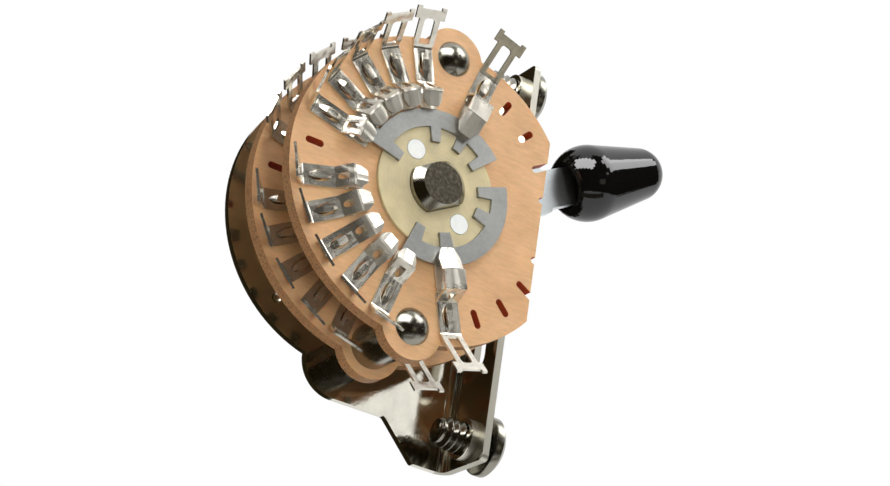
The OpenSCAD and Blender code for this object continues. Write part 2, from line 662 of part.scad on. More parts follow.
module detent_spring() color("#9aa0a4") across_shaft(leaf_front) rotate(-first_angle + 90) difference() {
    drop = ball_y - ball_d / 2 - leaf_front - leaf_t - 0.02;
    end_r = ball_ring_r + 1.5;
    union() {
        translate([0, 0, -leaf_t]) cylinder(d = lever_hub_d - 1, h = leaf_t);
        for (side = [0, 180]) rotate(side) translate([0, leaf_w / 2, 0]) rotate([90, 0, 0]) linear_extrude(leaf_w)
            polygon(strip_outline([[lever_hub_d * 0.27, 0], [lever_hub_d * 0.55, 0],
                [ball_ring_r - ball_d * 0.7, -drop], [end_r, -drop]], leaf_t));
    }
    translate([0, 0, -1]) linear_extrude(2) rotate(first_angle - 90) double_d(hole_gap);
}

module hub_spacer() color("#8e8c85") across_shaft(carrier_front) difference() {
    cylinder(d = lever_hub_d - 2.4, h = carrier_front - leaf_front - leaf_t);
    translate([0, 0, -1]) linear_extrude(5) double_d(hole_gap);
}

module shaft_washer() color("#b0afa8") across_shaft(flange_back + run_gap + ring_t[0]) difference() {
    cylinder(d = ring_d[0], h = ring_t[0]);
    translate([0, 0, -1]) cylinder(d = journal_d + 2 * run_gap, h = ring_t[0] + 2);
}

module retaining_ring() color("#6f6f6b")
    across_shaft(flange_back + run_gap + ring_t[0] + ring_t[1]) difference() {
        cylinder(d = ring_d[1], h = ring_t[1]);
        bore_d = journal_d - 2 * groove_depth + 2 * run_gap;
        translate([0, 0, -1]) cylinder(d = bore_d, h = ring_t[1] + 2);
        translate([-ring_d[1], -bore_d * 0.48, -1]) cube([ring_d[1], bore_d * 0.96, ring_t[1] + 2]);
        for (side = [-1, 1]) rotate(side * 62) translate([(ring_d[1] + bore_d) / 4, 0, -1])
            cylinder(d = (ring_d[1] - bore_d) / 4, h = ring_t[1] + 2, $fn = 24);
    }

frame();
front_wafer();
rear_wafer();
tie_rivet(-1);  // upper_tie_rivet
tie_rivet(1);  // lower_tie_rivet
spacer(-1, front_face + wafer_t, front_spacer_l);  // upper_front_spacer
spacer(1, front_face + wafer_t, front_spacer_l);  // lower_front_spacer
spacer(-1, rear_face + wafer_t, rear_spacer_l);  // upper_rear_spacer
spacer(1, rear_face + wafer_t, rear_spacer_l);  // lower_rear_spacer
mounting_screw(-1, screws_out[0]);  // upper_mounting_screw
mounting_screw(1, screws_out[1]);  // lower_mounting_screw
shaft();
lever_blade();
lever_tip();
rotor(front_face);  // front_rotor
rotor_back(front_face);  // front_rotor_back
rotor_pins(front_face);  // front_rotor_pins
upper_plate(front_face);  // front_upper_plate
lower_plate(front_face);  // front_lower_plate
rotor(rear_face);  // rear_rotor
rotor_back(rear_face);  // rear_rotor_back
rotor_pins(rear_face);  // rear_rotor_pins
upper_plate(rear_face);  // rear_upper_plate
lower_plate(rear_face);  // rear_lower_plate
ball_carrier();
detent_balls();
detent_spring();
hub_spacer();
shaft_washer();
retaining_ring();
for (t = TERMINALS) terminal(t);
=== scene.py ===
"""Guitar pickup selector switch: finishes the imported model's pieces, and adds the threads and
cross recesses of its mounting screws."""
import json
import math

import bmesh
import bpy
from mathutils import Matrix, Vector


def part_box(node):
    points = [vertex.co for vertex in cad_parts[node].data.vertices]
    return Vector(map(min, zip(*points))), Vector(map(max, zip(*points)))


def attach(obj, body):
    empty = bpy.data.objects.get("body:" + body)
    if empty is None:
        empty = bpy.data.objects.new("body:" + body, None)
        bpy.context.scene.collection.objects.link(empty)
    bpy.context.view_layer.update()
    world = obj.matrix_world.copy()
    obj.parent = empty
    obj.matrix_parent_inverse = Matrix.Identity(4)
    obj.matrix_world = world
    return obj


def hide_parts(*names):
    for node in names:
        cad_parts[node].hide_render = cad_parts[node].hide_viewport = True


bl_info = {
    "name": "Guitar pickup selector switch",
    "version": (1, 0, 0),
    "blender": (4, 5, 0),
    "location": "View3D > Sidebar > Selector Switch",
    "description": "Finishes a lever-operated wafer switch and sets it in a pale studio",
    "category": "Object",
}

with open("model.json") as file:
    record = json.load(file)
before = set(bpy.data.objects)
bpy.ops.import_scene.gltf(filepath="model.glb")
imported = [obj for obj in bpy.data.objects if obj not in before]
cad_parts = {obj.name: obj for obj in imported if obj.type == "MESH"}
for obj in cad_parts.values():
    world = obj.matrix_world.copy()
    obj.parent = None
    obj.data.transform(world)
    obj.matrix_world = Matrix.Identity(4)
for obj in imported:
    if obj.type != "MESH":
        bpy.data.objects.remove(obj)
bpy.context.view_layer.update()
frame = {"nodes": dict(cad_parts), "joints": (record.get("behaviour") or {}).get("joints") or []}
NODES = frame["nodes"]
MM = 0.001

# Places in the model
TERMINALS = [n for n in NODES if "_common_" in n or "_throw_" in n]
PLATES = [n for n in NODES if n.endswith("_plate")]
RIVETS = [n for n in NODES if n.endswith("_tie_rivet")]
SPACERS = [n for n in NODES if n.endswith("_spacer") and n != "hub_spacer"]
SHAFT_AXIS = Vector(frame["joints"][0]["pos_m"])
ACROSS_SHAFT = (1.0, 0.0, 1.0)
# Middle radius of the wafers' slots, and half their length: the band where the slots' walls get a
# painted red-brown shade
SLOT_WALLS = (14.0 * MM, 1.15 * MM)
# The flange lies this far under the mounting face at most
FLANGE_DEPTH = 1.6 * MM
# Radius of the ring on which the terminals stand, and radius at which their jaws end
TERMINAL_RING = 14.0 * MM
JAW_END = 11.2 * MM
JAW_BLEND = 0.8 * MM

# Mounting screws
SHANK_R = 1.75 * MM
HEAD_H = 2.3 * MM
DOME_H = 1.38 * MM
RECESS_DEPTH = 1.4 * MM
# Half the length of the recess's wings and the taper of its walls, as shares
RECESS_REACH = 0.62
RECESS_TAPER = (0.35, 0.75)
# The thread's profile over one pitch: place along it and height
THREAD_FORM = ((0.0, 1.0), (0.08, 1.0), (0.46, 0.0), (0.54, 0.0), (0.92, 1.0))
THREAD_STEPS = 48
# Length of the point, and how much thinner it ends
POINT_L = 1.0 * MM
POINT_DROP = 0.45 * MM

# The studio as the camera sees it: its place, its right, its up, and back towards it
CAMERA_PLACE = (0.09544, -0.18588, -0.10791)
RIGHT = Vector((-0.1369, -0.5261, 0.8393))
UP = Vector((-0.9010, -0.2859, -0.3262))
BACK = Vector((0.4116, -0.8009, -0.4349))
# Half the floor's side, the tent's radius and the distance of its cloths, in metres
FLOOR_HALF = 3.0
TENT_RADIUS = 1.5
CLOTH_DISTANCE = 1.2

# Lamps: name, direction from the switch, distance and size in metres, setting of the power, and
# whether mirrors show it
LAMPS = (
    ("top_softbox", (-0.093, 0.886, 0.454), 0.6, (0.56, 0.36), "key_power", True),
    ("right_softbox", (0.743, 0.660, -0.108), 0.6, (0.32, 0.34), "fill_power", True),
    ("front_fill", (0.1, 0.1, 0.99), 0.9, (0.6, 0.6), "front_power", False),
)

# Lit cloths: name, direction from the switch, width and height in metres, colour, strength
CLOTHS = (
    ("white_panel", (0.848, 0.405, 0.342), (0.13, 0.12), "#FFFFFF", 1.35),
    ("lower_panel", (0.20, -0.62, 0.75), (1.5, 0.30), "#6E6858", 1.0),
    ("cream_panel", (0.690, 0.070, 0.720), (0.30, 0.28), "#B9B3A2", 1.0),
)


# Colours, properties and nodes

def linear(code, k=1.0):
    """An sRGB hex colour as linear light, times k."""
    parts = [int(code.lstrip("#")[i:i + 2], 16) / 255 for i in (0, 2, 4)]
    light = (p / 12.92 if p <= 0.04045 else ((p + 0.055) / 1.055) ** 2.4 for p in parts)
    return tuple(k * p for p in light) + (1.0,)


def shade(colour, k):
    """A linear colour times k."""
    return tuple(c * k for c in colour[:3]) + (1.0,)


def hex_colour(name, description, code):
    """A colour property whose default is an sRGB hex value."""
    return bpy.props.FloatVectorProperty(name=name, description=description, subtype="COLOR",
                                         size=4, min=0.0, max=1.0, default=linear(code))


def length(name, description, mm):
    """A length property whose default is given in mm."""
    return bpy.props.FloatProperty(name=name, description=description, subtype="DISTANCE",
                                   unit="LENGTH", default=mm * MM, precision=5)


def add_node(tree, kind, links=None, out=0, stops=None, **settings):
    """Adds a shader node with its settings and links, and gives one of its outputs. A link is a
    socket or a plain value. stops are a colour ramp's places and colours."""
    made = tree.nodes.new("ShaderNode" + kind)
    for name, value in settings.items():
        setattr(made, name, value)
    for socket, value in (links or {}).items():
        if isinstance(value, bpy.types.NodeSocket):
            tree.links.new(value, made.inputs[socket])
        else:
            made.inputs[socket].default_value = value
    for i, (place, colour) in enumerate(stops or ()):
        elements = made.color_ramp.elements
        element = elements[i] if i < 2 else elements.new(place)
        element.position, element.color = place, colour
    return made.outputs[out]


def new_material(name, **surface):
    """A material with one Principled surface; surface gives its sockets' plain values."""
    made = bpy.data.materials.new(name)
    made.use_nodes = True
    shader = made.node_tree.nodes["Principled BSDF"]
    for socket, value in surface.items():
        shader.inputs[socket.replace("_", " ")].default_value = value
    return made, made.node_tree, shader.inputs


# Materials. Places are in metres, so a noise that is n mm wide has a scale of 1000 / n.

def bright_plated_sheet(colours):
    """Bright-plated sheet steel, rolled and stamped: a mirror with a slow ripple from rolling, and
    a fine orange peel that frays the edges of what it reflects."""
    made, tree, surface = new_material("bright_plated_sheet_steel", Metallic=1.0)
    place = add_node(tree, "TexCoord", out="Object")
    cloud = add_node(tree, "TexNoise", {"Vector": place, "Scale": 1000 / 6.0, "Detail": 3.0})
    tint = add_node(tree, "ValToRGB", {"Fac": cloud}, stops=[
        (0.3, shade(colours.plated_steel, 0.92)), (0.7, colours.plated_steel)])
    tree.links.new(tint, surface["Base Color"])
    wipe = add_node(tree, "TexNoise", {"Vector": place, "Scale": 1000 / 1.6, "Detail": 4.0})
    # The flange's cut edges are matte: they lie above the plate and don't face along Z
    parts = add_node(tree, "SeparateXYZ", {0: place}).node.outputs
    in_flange = add_node(tree, "Math", {0: parts["Z"], 1: -FLANGE_DEPTH}, operation="GREATER_THAN")
    normal = add_node(tree, "NewGeometry", out="True Normal")
    facing_z = add_node(tree, "SeparateXYZ", {0: normal}, "Z")
    upright = add_node(tree, "Math", {0: facing_z}, operation="ABSOLUTE")
    sideways = add_node(tree, "Math", {0: upright, 1: 0.3}, operation="LESS_THAN")
    cut = add_node(tree, "Math", {0: in_flange, 1: sideways}, operation="MULTIPLY")
    satin = add_node(tree, "MapRange", {"Value": wipe, "To Min": 0.05, "To Max": 0.16})
    tree.links.new(add_node(tree, "Math", {0: cut, 1: 0.4, 2: satin}, operation="MULTIPLY_ADD"),
                   surface["Roughness"])
    peel = add_node(tree, "TexNoise", {"Vector": place, "Scale": 1000 / 0.3, "Detail": 2.0})
    along = add_node(tree, "VectorMath", {0: place, 1: (1.0, 1.0, 0.35)}, operation="MULTIPLY")
    ripple = add_node(tree, "TexNoise", {"Vector": along, "Scale": 1000 / 3.5, "Detail": 1.0})
    height = add_node(tree, "Math", {0: ripple, 1: 5.0, 2: peel}, operation="MULTIPLY_ADD")
    tree.links.new(add_node(tree, "Bump", {"Height": height, "Distance": 0.007 * MM,
                                           "Strength": 0.6}), surface["Normal"])
    return made


def paper_phenolic(colours):
    """Paper-phenolic laminate, pressed and punched: tan faces with a fine rolled grain, an edge
    that is rough and speckled where the punch broke it, and a painted red-brown shade on the
    slots' walls. The soaked paper lets some light through, which warms its shaded parts."""
    made, tree, surface = new_material(
        "paper_phenolic_laminate", Roughness=0.55, IOR=1.55, Subsurface_Weight=0.4,
        Subsurface_Radius=(1.0, 0.4, 0.15), Subsurface_Scale=0.7 * MM)
    place = add_node(tree, "TexCoord", out="Object")
    # The grain is 0.2 mm wide and a millimetre long
    along = add_node(tree, "VectorMath", {0: place, 1: (4.6, 1.0, 0.9)}, operation="MULTIPLY")
    fine = add_node(tree, "TexNoise", {"Vector": along, "Scale": 1000 / 1.0, "Detail": 5.0,
                                       "Roughness": 0.65})
    grain = add_node(tree, "ValToRGB", {"Fac": fine}, stops=[
        (0.3, shade(colours.laminate, 0.88)), (0.75, shade(colours.laminate, 1.1)),
        (0.52, colours.laminate)])
    broad = add_node(tree, "TexNoise", {"Vector": place, "Scale": 1000 / 3.2, "Detail": 2.0})
    cloud = add_node(tree, "ValToRGB", {"Fac": broad}, stops=[
        (0.3, linear("#F0EDE9")), (0.7, linear("#FFFFFF"))])
    face = add_node(tree, "Mix", {"Factor": 1.0, "A": grain, "B": cloud}, "Result",
                    data_type="RGBA", blend_type="MULTIPLY")
    speckle = add_node(tree, "TexNoise", {"Vector": place, "Scale": 1000 / 0.22, "Detail": 4.0,
                                          "Roughness": 0.8})
    edge = add_node(tree, "ValToRGB", {"Fac": speckle}, stops=[
        (0.38, shade(colours.laminate_edge, 0.38)), (0.68, shade(colours.laminate_edge, 1.3)),
        (0.48, colours.laminate_edge)])
    # The slots' walls lie between two radii round the shaft; there the edge colour gives way to a
    # painted red-brown shade
    from_axis = add_node(tree, "VectorMath", {0: place, 1: SHAFT_AXIS}, operation="SUBTRACT")
    flat = add_node(tree, "VectorMath", {0: from_axis, 1: ACROSS_SHAFT}, operation="MULTIPLY")
    radius = add_node(tree, "VectorMath", {0: flat}, "Value", operation="LENGTH")
    slot_shade_mask = add_node(tree, "Math", {0: radius, 1: SLOT_WALLS[0], 2: SLOT_WALLS[1]},
                       operation="COMPARE")
    edge_with_slot_shade = add_node(tree, "Mix", {"Factor": slot_shade_mask, "A": edge, "B": colours.painted_slot_shade}, "Result",
                    data_type="RGBA")
    normal = add_node(tree, "NewGeometry", out="True Normal")
    facing_y = add_node(tree, "SeparateXYZ", {0: normal}, "Y")
    across = add_node(tree, "Math", {0: facing_y}, operation="ABSOLUTE")
    on_face = add_node(tree, "MapRange", {"Value": across, "From Min": 0.75, "From Max": 0.9})
    tree.links.new(add_node(tree, "Mix", {"Factor": on_face, "A": edge_with_slot_shade, "B": face}, "Result",
                            data_type="RGBA"), surface["Base Color"])
    tree.links.new(add_node(tree, "Bump", {"Height": fine, "Distance": 0.02 * MM,
                                           "Strength": 0.4}), surface["Normal"])
    return made


def moulded_acetal(colours):
    """Natural acetal, injection-moulded: ivory and a little translucent, with the faint rings that
    the turned mould left round the shaft."""
    made, tree, surface = new_material(
        "natural_acetal_moulding", Roughness=0.34, IOR=1.48, Subsurface_Weight=0.4,
        Subsurface_Scale=1.2 * MM, Subsurface_Radius=(1.0, 0.8, 0.4))
    place = add_node(tree, "TexCoord", out="Object")
    cloud = add_node(tree, "TexNoise", {"Vector": place, "Scale": 1000 / 2.2, "Detail": 3.0})
    tree.links.new(add_node(tree, "ValToRGB", {"Fac": cloud}, stops=[
        (0.3, shade(colours.rotor, 0.82)), (0.68, shade(colours.rotor, 1.06))]),
        surface["Base Color"])
    from_axis = add_node(tree, "VectorMath", {0: place, 1: SHAFT_AXIS}, operation="SUBTRACT")
    flat = add_node(tree, "VectorMath", {0: from_axis, 1: ACROSS_SHAFT}, operation="MULTIPLY")
    # One ring in 0.45 mm: a ring texture of scale s repeats in pi / (10 s) of a metre
    rings = add_node(tree, "TexWave", {"Vector": flat, "Scale": math.pi / (10 * 0.45 * MM),
                                       "Distortion": 0.6}, "Fac",
                     wave_type="RINGS", rings_direction="SPHERICAL")
    tree.links.new(add_node(tree, "Bump", {"Height": rings, "Distance": 0.008 * MM,
                                           "Strength": 0.5}), surface["Normal"])
    return made


def white_moulding(colours):
    """White nylon, moulded: even and matte, with a soft gloss."""
    made, tree, surface = new_material("white_nylon_moulding", Roughness=0.45,
                                       Subsurface_Weight=0.2, Subsurface_Scale=0.8 * MM)
    place = add_node(tree, "TexCoord", out="Object")
    cloud = add_node(tree, "TexNoise", {"Vector": place, "Scale": 1000 / 0.8})
    tree.links.new(add_node(tree, "ValToRGB", {"Fac": cloud}, stops=[
        (0.3, shade(colours.pins, 0.94)), (0.7, colours.pins)]), surface["Base Color"])
    return made


def silvered_strip(colours):
    """Silver-plated brass strip, blanked: matte grey with a fine tarnish mottle."""
    made, tree, surface = new_material("silver_plated_strip", Metallic=1.0)
    place = add_node(tree, "TexCoord", out="Object")
    mottle = add_node(tree, "TexNoise", {"Vector": place, "Scale": 1000 / 0.4, "Detail": 4.0,
                                         "Roughness": 0.7})
    broad = add_node(tree, "TexNoise", {"Vector": place, "Scale": 1000 / 2.5, "Detail": 2.0})
    both = add_node(tree, "Math", {0: mottle, 1: broad}, operation="ADD")
    mean = add_node(tree, "Math", {0: both, 1: 0.5}, operation="MULTIPLY")
    tree.links.new(add_node(tree, "ValToRGB", {"Fac": mean}, stops=[
        (0.36, shade(colours.contact, 0.78)), (0.6, colours.contact)]), surface["Base Color"])
    tree.links.new(add_node(tree, "MapRange", {"Value": mottle, "To Min": 0.36, "To Max": 0.55}),
                   surface["Roughness"])
    tree.links.new(add_node(tree, "Bump", {"Height": mottle, "Distance": 0.008 * MM,
                                           "Strength": 0.4}), surface["Normal"])
    return made


def tinned_strip(colours):
    """Spring-brass strip, formed and then dip-tinned: bright, with the tin's runs along each
    terminal. The jaws are coined, which leaves them duller and whiter."""
    made, tree, surface = new_material("tinned_spring_strip")
    place = add_node(tree, "TexCoord", out="Object")
    # The runs point away from the shaft, so they are drawn in turns round it and distance from it
    from_axis = add_node(tree, "VectorMath", {0: place, 1: SHAFT_AXIS}, operation="SUBTRACT")
    flat = add_node(tree, "VectorMath", {0: from_axis, 1: ACROSS_SHAFT}, operation="MULTIPLY")
    radius = add_node(tree, "VectorMath", {0: flat}, "Value", operation="LENGTH")
    parts = add_node(tree, "SeparateXYZ", {0: from_axis}).node.outputs
    turn = add_node(tree, "Math", {0: parts["X"], 1: parts["Z"]}, operation="ARCTAN2")
    around = add_node(tree, "Math", {0: turn, 1: TERMINAL_RING}, operation="MULTIPLY")
    outward = add_node(tree, "Math", {0: radius, 1: 0.12}, operation="MULTIPLY")
    spread = add_node(tree, "CombineXYZ", {"X": around, "Y": outward, "Z": parts["Y"]})
    runs = add_node(tree, "TexNoise", {"Vector": spread, "Scale": 1000 / 1.0, "Detail": 0.6})
    waves = add_node(tree, "TexNoise", {"Vector": place, "Scale": 1000 / 1.3, "Detail": 1.5})
    tree.links.new(add_node(tree, "ValToRGB", {"Fac": waves}, stops=[
        (0.3, shade(colours.tin, 0.85)), (0.65, colours.tin)]), surface["Base Color"])
    in_jaw = add_node(tree, "MapRange", {"Value": radius, "From Min": JAW_END,
                                         "From Max": JAW_END - JAW_BLEND})
    shine = add_node(tree, "MapRange", {"Value": waves, "To Min": 0.12, "To Max": 0.3})
    tree.links.new(add_node(tree, "Math", {0: in_jaw, 1: 0.1, 2: shine}, operation="MULTIPLY_ADD"),
                   surface["Roughness"])
    tree.links.new(add_node(tree, "MapRange", {"Value": in_jaw, "To Min": 0.92, "To Max": 0.74}),
                   surface["Metallic"])
    height = add_node(tree, "Math", {0: runs, 1: 4.0, 2: waves}, operation="MULTIPLY_ADD")
    tree.links.new(add_node(tree, "Bump", {"Height": height, "Distance": 0.035 * MM,
                                           "Strength": 0.8}), surface["Normal"])
    return made


def painted_edge_highlight(colours):
    """Blanked edges of plated strip, near white and barely metallic: a painted highlight along
    each edge, broken by darker nicks.
    """
    made, tree, surface = new_material("burnished_strip_edge", Metallic=0.3)
    place = add_node(tree, "TexCoord", out="Object")
    nicks = add_node(tree, "TexNoise", {"Vector": place, "Scale": 1000 / 0.5, "Detail": 3.0})
    tree.links.new(add_node(tree, "ValToRGB", {"Fac": nicks}, stops=[
        (0.35, shade(colours.strip_edge, 0.6)), (0.55, colours.strip_edge)]),
        surface["Base Color"])
    tree.links.new(add_node(tree, "MapRange", {"Value": nicks, "To Min": 0.25, "To Max": 0.4}),
                   surface["Roughness"])
    return made


def polished_nickel(colours):
    """Nickel-plated steel, headed and barrel-polished: a warm grey mirror with wipe marks."""
    made, tree, surface = new_material("polished_nickel_plating", Metallic=1.0)
    place = add_node(tree, "TexCoord", out="Object")
    cloud = add_node(tree, "TexNoise", {"Vector": place, "Scale": 1000 / 2.0})
    tree.links.new(add_node(tree, "ValToRGB", {"Fac": cloud}, stops=[
        (0.3, shade(colours.nickel, 0.9)), (0.7, colours.nickel)]), surface["Base Color"])
    wipe = add_node(tree, "TexNoise", {"Vector": place, "Scale": 1000 / 0.5, "Detail": 3.0})
    tree.links.new(add_node(tree, "MapRange", {"Value": wipe, "To Min": 0.18, "To Max": 0.32}),
                   surface["Roughness"])
    tree.links.new(add_node(tree, "Bump", {"Height": wipe, "Distance": 0.006 * MM,
                                           "Strength": 0.4}), surface["Normal"])
    return made


def zinc_plated(colours):
    """Zinc-plated sheet: light blue-grey and satin, with the sheet's rolling grain."""
    made, tree, surface = new_material("zinc_plated_sheet", Metallic=1.0)
    place = add_node(tree, "TexCoord", out="Object")
    along = add_node(tree, "VectorMath", {0: place, 1: (3.0, 1.0, 0.6)}, operation="MULTIPLY")
    grain = add_node(tree, "TexNoise", {"Vector": along, "Scale": 1000 / 0.6, "Detail": 3.0})
    tree.links.new(add_node(tree, "ValToRGB", {"Fac": grain}, stops=[
        (0.3, shade(colours.zinc, 0.9)), (0.7, colours.zinc)]), surface["Base Color"])
    tree.links.new(add_node(tree, "MapRange", {"Value": grain, "To Min": 0.36, "To Max": 0.5}),
                   surface["Roughness"])
    tree.links.new(add_node(tree, "Bump", {"Height": grain, "Distance": 0.008 * MM,
                                           "Strength": 0.3}), surface["Normal"])
    return made


def sheared_bar(colours):
    """Cold-drawn steel bar: flats that are drawn smooth, and a sheared end, dark and rough."""
    made, tree, surface = new_material("cold_drawn_bar", Metallic=1.0)
    place = add_node(tree, "TexCoord", out="Object")
    pits = add_node(tree, "TexNoise", {"Vector": place, "Scale": 1000 / 0.4, "Detail": 5.0,
                                       "Roughness": 0.7})
    torn = add_node(tree, "ValToRGB", {"Fac": pits}, stops=[
        (0.36, shade(colours.sheared, 0.5)), (0.72, shade(colours.sheared, 2.0)),
        (0.55, colours.sheared)])
    along = add_node(tree, "VectorMath", {0: place, 1: (2.0, 0.4, 2.0)}, operation="MULTIPLY")
    drawn = add_node(tree, "TexNoise", {"Vector": along, "Scale": 1000 / 0.7, "Detail": 3.0})
    satin = add_node(tree, "ValToRGB", {"Fac": drawn}, stops=[
        (0.3, shade(colours.bar, 0.85)), (0.7, colours.bar)])
    # The end in front of the front wafer faces along -Y
    normal = add_node(tree, "NewGeometry", out="True Normal")
    facing_y = add_node(tree, "SeparateXYZ", {0: normal}, "Y")
    on_end = add_node(tree, "MapRange", {"Value": facing_y, "From Min": -0.9, "From Max": -0.97})
    tree.links.new(add_node(tree, "Mix", {"Factor": on_end, "A": satin, "B": torn}, "Result",
                            data_type="RGBA"), surface["Base Color"])
    tree.links.new(add_node(tree, "MapRange", {"Value": on_end, "To Min": 0.2, "To Max": 0.5}),
                   surface["Roughness"])
    height = add_node(tree, "Math", {0: pits, 1: on_end}, operation="MULTIPLY")
    tree.links.new(add_node(tree, "Bump", {"Height": height, "Distance": 0.08 * MM,
                                           "Strength": 0.8}), surface["Normal"])
    return made


def dark_steel(colours):
    """Spring steel, hardened and oiled: dark and satin."""
    made, tree, surface = new_material("oiled_spring_steel", Metallic=1.0, Roughness=0.32)
    place = add_node(tree, "TexCoord", out="Object")
    cloud = add_node(tree, "TexNoise", {"Vector": place, "Scale": 1000 / 0.8, "Detail": 3.0})
    tree.links.new(add_node(tree, "ValToRGB", {"Fac": cloud}, stops=[
        (0.3, shade(colours.spring, 0.8)), (0.7, colours.spring)]), surface["Base Color"])
    grain = add_node(tree, "TexNoise", {"Vector": place, "Scale": 1000 / 0.3})
    tree.links.new(add_node(tree, "Bump", {"Height": grain, "Distance": 0.006 * MM,
                                           "Strength": 0.4}), surface["Normal"])
    return made


def black_moulding(colours):
    """Black ABS, moulded in a polished tool: a deep gloss with a slow waviness from shrinking."""
    made, tree, surface = new_material("black_abs_moulding", IOR=1.54)
    place = add_node(tree, "TexCoord", out="Object")
    flow = add_node(tree, "TexNoise", {"Vector": place, "Scale": 1000 / 2.5})
    tree.links.new(add_node(tree, "ValToRGB", {"Fac": flow}, stops=[
        (0.3, shade(colours.tip, 0.8)), (0.7, colours.tip)]), surface["Base Color"])
    haze = add_node(tree, "TexNoise", {"Vector": place, "Scale": 1000 / 0.8, "Detail": 3.0})
    tree.links.new(add_node(tree, "MapRange", {"Value": haze, "To Min": 0.03, "To Max": 0.08}),
                   surface["Roughness"])
    # The waviness, 1.1 mm wide, frays the long highlight
    along = add_node(tree, "VectorMath", {0: place, 1: (1.0, 1.0, 0.8)}, operation="MULTIPLY")
    wavy = add_node(tree, "TexNoise", {"Vector": along, "Scale": 1000 / 1.1, "Detail": 1.0})
    tree.links.new(add_node(tree, "Bump", {"Height": wavy, "Distance": 0.012 * MM,
                                           "Strength": 0.5}), surface["Normal"])
    return made


def pale_floor(colour):
    """Matte paint: it keeps the switch's shadow."""
    made, tree, surface = new_material("pale_matte_paint", Roughness=0.9)
    place = add_node(tree, "TexCoord", out="Object")
    cloud = add_node(tree, "TexNoise", {"Vector": place, "Scale": 2.5})
    tree.links.new(add_node(tree, "ValToRGB", {"Fac": cloud}, stops=[
        (0.3, shade(colour, 0.985)), (0.7, colour)]), surface["Base Color"])
    return made


def studio_cloth(name, code, strength):
    """Studio cloth, woven and matte, that gives back an even light of its own."""
    made, tree, surface = new_material(name, Base_Color=(0.0, 0.0, 0.0, 1.0), Roughness=1.0,
                                       Specular_IOR_Level=0.0, Emission_Strength=strength)
    place = add_node(tree, "TexCoord", out="Object")
    folds = add_node(tree, "TexNoise", {"Vector": place, "Scale": 3.0, "Detail": 3.0})
    tree.links.new(add_node(tree, "ValToRGB", {"Fac": folds}, stops=[
        (0.3, linear(code, 0.8)), (0.7, linear(code, 1.1))]), surface["Emission Color"])
    return made


# Shapes

def soften(obj, width, angle=30.0):
    """Rounds a piece's sharp edges by a small bevel, and shades it smooth between them."""
    obj.data.polygons.foreach_set("use_smooth", [True] * len(obj.data.polygons))
    made = obj.modifiers.new("edge_rounding", "BEVEL")
    made.width = width
    made.segments = 2
    made.limit_method = "ANGLE"
    made.angle_limit = math.radians(angle)
    made.harden_normals = True
    made.use_clamp_overlap = True


def dress(names, finish, edge=0.0, edge_highlight=None):
    """Gives nodes a finish and rounded edges, whose bevels may carry a painted highlight of their
    own.
    """
    for name in names:
        obj = NODES[name]
        obj.data.materials.clear()
        obj.data.materials.append(finish)
        if edge:
            soften(obj, edge)
        # The bevel's faces get the painted edge highlight
        if edge_highlight:
            obj.data.materials.append(edge_highlight)
            obj.modifiers["edge_rounding"].material = 1


def mesh_object(name, build, finish, body, replaced=()):
    """A new piece from a bmesh builder, riding on a CAD body."""
    mesh = bpy.data.meshes.new(name)
    shape = bmesh.new()
    build(shape)
    bmesh.ops.recalc_face_normals(shape, faces=shape.faces)
    shape.to_mesh(mesh)
    shape.free()
    mesh.polygons.foreach_set("use_smooth", [True] * len(mesh.polygons))
    mesh.materials.append(finish)
    obj = bpy.data.objects.new(name, mesh)
    bpy.context.scene.collection.objects.link(obj)
    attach(obj, body)
    if replaced:
        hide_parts(*replaced)
    return obj


def lathe(shape, profile, segments, centre):
    """Faces of a profile of (radius, height) points turned about an upright axis at centre."""
    rings = []
    for radius, height in profile:
        if radius < 1e-7:
            rings.append([shape.verts.new(centre + Vector((0.0, 0.0, height)))] * segments)
        else:
            turns = (2 * math.pi * k / segments for k in range(segments))
            rings.append([shape.verts.new(centre + Vector((radius * math.cos(t),
                                                           radius * math.sin(t), height)))
                          for t in turns])
    for low, high in zip(rings, rings[1:]):
        for k in range(segments):
            after = (k + 1) % segments
            corners = []
            for v in (low[k], low[after], high[after], high[k]):
                if v not in corners:
                    corners.append(v)
            if len(corners) > 2:
                shape.faces.new(corners)


def arc(centre, radius, start, end, steps):
    """(radius, height) points of an arc, angles in degrees."""
    angles = (math.radians(start + (end - start) * k / steps) for k in range(steps + 1))
    return [(centre[0] + radius * math.cos(t), centre[1] + radius * math.sin(t)) for t in angles]


def screw_head(shape, low, high, centre):
    """A pan head on the top of its shank, turned about the screw's axis."""
    head_r = (high.x - low.x) / 2
    head_z = high.z - HEAD_H
    dome_r = (head_r ** 2 + DOME_H ** 2) / (2 * DOME_H)
    half = math.degrees(math.asin(head_r / dome_r))
    profile = [(0.0, head_z + 0.1 * MM), (SHANK_R, head_z + 0.1 * MM), (SHANK_R, head_z),
               (head_r - 0.25 * MM, head_z), (head_r - 0.06 * MM, head_z + 0.06 * MM),
               (head_r, head_z + 0.25 * MM), (head_r, high.z - DOME_H)]
    profile += arc((0.0, high.z - dome_r), dome_r, 90 - half, 90, 20)
    profile[-1] = (0.0, high.z)
    lathe(shape, profile, 72, centre)


